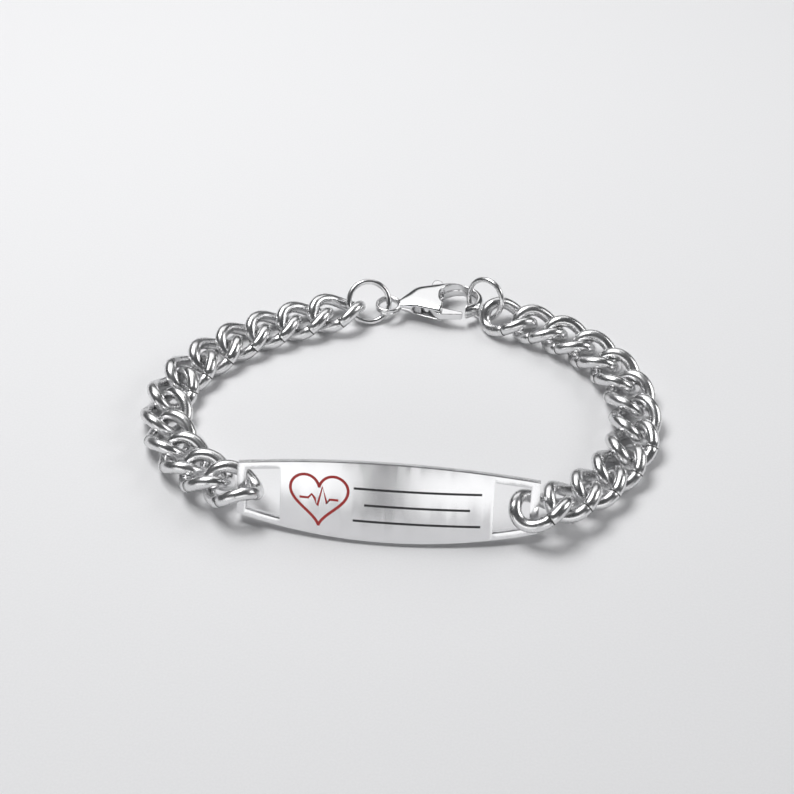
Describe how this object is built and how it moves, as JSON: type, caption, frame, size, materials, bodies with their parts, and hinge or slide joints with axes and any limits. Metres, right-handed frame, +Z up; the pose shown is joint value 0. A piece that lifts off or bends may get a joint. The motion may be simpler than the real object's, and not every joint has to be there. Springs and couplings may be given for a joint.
{
  "type": "medical alert bracelet",
  "caption": "Closed steel bracelet lying in a loop: a curved identity plate with slotted ends, twisted curb chain, and a lobster clasp hooked into a ring.",
  "frame": {"origin": "middle of the bracelet's box, on the surface that it lies on", "axes": "+X along the plate, from the jump ring's side to the end ring's side; +Y from the plate to the clasp; +Z up"},
  "size_m": [0.0824, 0.0604, 0.0115],
  "materials": {
    "plate_steel": "satin polish",
    "chain_steel": "mirror polish",
    "ring_steel": "mirror polish",
    "clasp_steel": "polish",
    "red_enamel": "enamel fill",
    "engraving": "blackened"
  },
  "bodies": {
    "bracelet": {"id_plate": "plate_steel", "link_left_01": "chain_steel", "link_left_02": "chain_steel", "link_left_03": "chain_steel", "link_left_04": "chain_steel", "link_left_05": "chain_steel", "link_left_06": "chain_steel", "link_left_07": "chain_steel", "link_left_08": "chain_steel", "link_left_09": "chain_steel", "link_left_10": "chain_steel", "link_left_11": "chain_steel", "link_left_12": "chain_steel", "link_right_01": "chain_steel", "link_right_02": "chain_steel", "link_right_03": "chain_steel", "link_right_04": "chain_steel", "link_right_05": "chain_steel", "link_right_06": "chain_steel", "link_right_07": "chain_steel", "link_right_08": "chain_steel", "link_right_09": "chain_steel", "link_right_10": "chain_steel", "link_right_11": "chain_steel", "link_right_12": "chain_steel", "jump_ring": "ring_steel", "end_ring": "ring_steel", "clasp_body": "clasp_steel", "clasp_pin": "clasp_steel"},
    "lever": {"clasp_lever": "clasp_steel"}
  },
  "joints": [
    {"name": "lever_hinge", "type": "hinge", "parent": "bracelet", "child": "lever", "pos_m": [0.00227, 0.02361, 0.0024], "axis": [0, 0, 1], "range_deg": [0, 20], "stiffness_Nm_per_rad": 0.002, "springref_deg": -11.46}
  ]
}
